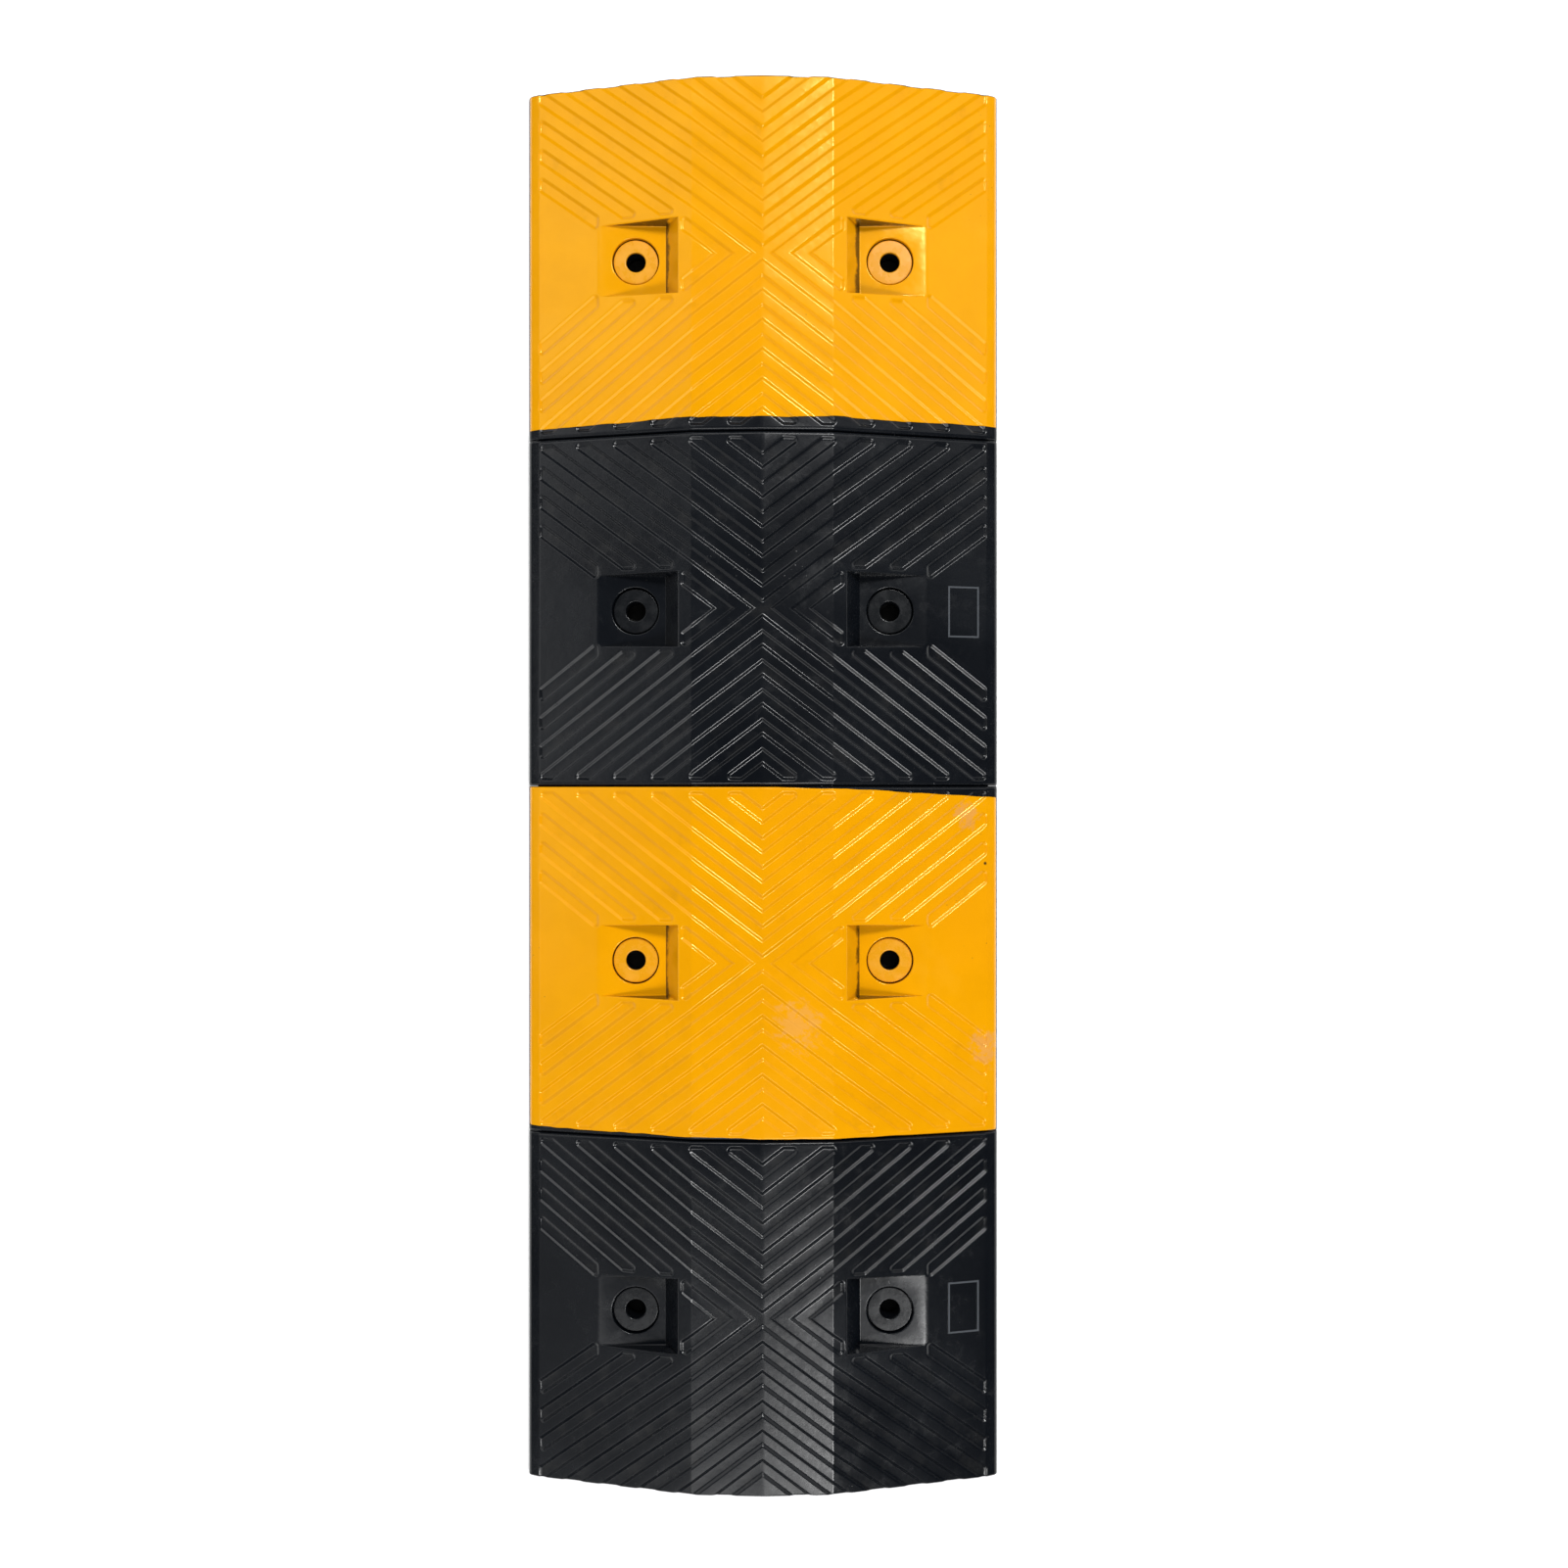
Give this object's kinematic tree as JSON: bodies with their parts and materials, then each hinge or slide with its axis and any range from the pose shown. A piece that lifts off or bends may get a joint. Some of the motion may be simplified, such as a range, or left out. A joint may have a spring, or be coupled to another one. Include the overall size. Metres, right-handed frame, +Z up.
{
  "type": "rubber speed bump",
  "caption": "Low modular rubber speed bump: ramped black and yellow modules with chevron tread grooves, recessed bolt pockets and dowelled seams.",
  "frame": {"origin": "middle of the bump's underside, on the ground", "axes": "+Z up, Y along the bump's length across the lane, X in the direction of travel; module 1 is at the +Y end"},
  "size_m": [0.34, 1, 0.05],
  "materials": {
    "black_rubber": "semi-gloss moulded",
    "yellow_rubber": "satin moulded",
    "washer_yellow": "rubber-coated, satin",
    "washer_black": "rubber-coated, satin",
    "dowel_steel": "zinc plated"
  },
  "bodies": {
    "root": {"module_1": "black_rubber", "module_2": "black_rubber", "module_3": "black_rubber", "module_4": "black_rubber", "facing_1": "yellow_rubber", "facing_3": "yellow_rubber", "washer_1a": "washer_yellow", "washer_1b": "washer_yellow", "washer_2a": "washer_black", "washer_2b": "washer_black", "washer_3a": "washer_yellow", "washer_3b": "washer_yellow", "washer_4a": "washer_black", "washer_4b": "washer_black", "dowel_12a": "dowel_steel", "dowel_12b": "dowel_steel", "dowel_23a": "dowel_steel", "dowel_23b": "dowel_steel", "dowel_34a": "dowel_steel", "dowel_34b": "dowel_steel"}
  },
  "joints": []
}
